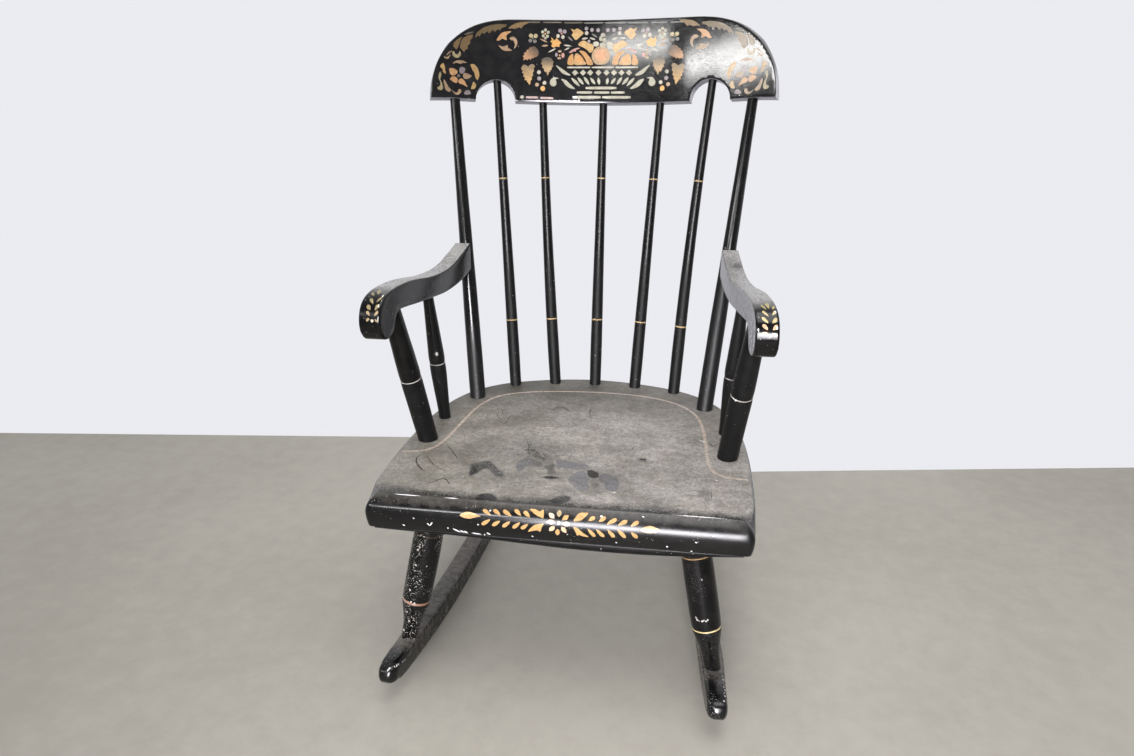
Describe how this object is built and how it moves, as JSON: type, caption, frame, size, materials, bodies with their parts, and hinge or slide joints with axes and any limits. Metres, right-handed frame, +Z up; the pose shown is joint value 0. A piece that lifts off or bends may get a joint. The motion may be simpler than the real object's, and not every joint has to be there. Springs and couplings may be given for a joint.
{
  "type": "rocking chair",
  "caption": "Child's plank-seat rocking chair with a spindle back, broad curved top rail, scrolled arms, splayed turned legs and curved rockers.",
  "frame": {"origin": "on the floor under the middle of the chair's bounding box", "axes": "+Z up, -Y the way the chair faces, +X to the right seen from the front; the chair is the same on both sides of X = 0"},
  "size_m": [0.421, 0.4718, 0.6733],
  "materials": {
    "seat_paint": "worn black enamel under dust",
    "roll_paint": "black enamel, satin",
    "crest_paint": "black enamel, satin, with gold stencilling",
    "arm_paint": "black enamel, satin, dusty on top",
    "turned_paint": "black enamel, satin, with gold rings",
    "leg_paint": "black enamel, satin, chipped",
    "rocker_paint": "black enamel, satin, dusty on top"
  },
  "bodies": {
    "root": {"seat_plank": "seat_paint", "front_roll_strip": "roll_paint", "crest_rail": "crest_paint", "back_post_left": "turned_paint", "back_post_right": "turned_paint", "spindle_1": "turned_paint", "spindle_2": "turned_paint", "spindle_3": "turned_paint", "spindle_4": "turned_paint", "spindle_5": "turned_paint", "arm_left": "arm_paint", "arm_right": "arm_paint", "front_arm_post_left": "turned_paint", "front_arm_post_right": "turned_paint", "rear_arm_post_left": "turned_paint", "rear_arm_post_right": "turned_paint", "front_leg_left": "leg_paint", "front_leg_right": "leg_paint", "rear_leg_left": "leg_paint", "rear_leg_right": "leg_paint", "rocker_left": "rocker_paint", "rocker_right": "rocker_paint"}
  },
  "joints": []
}
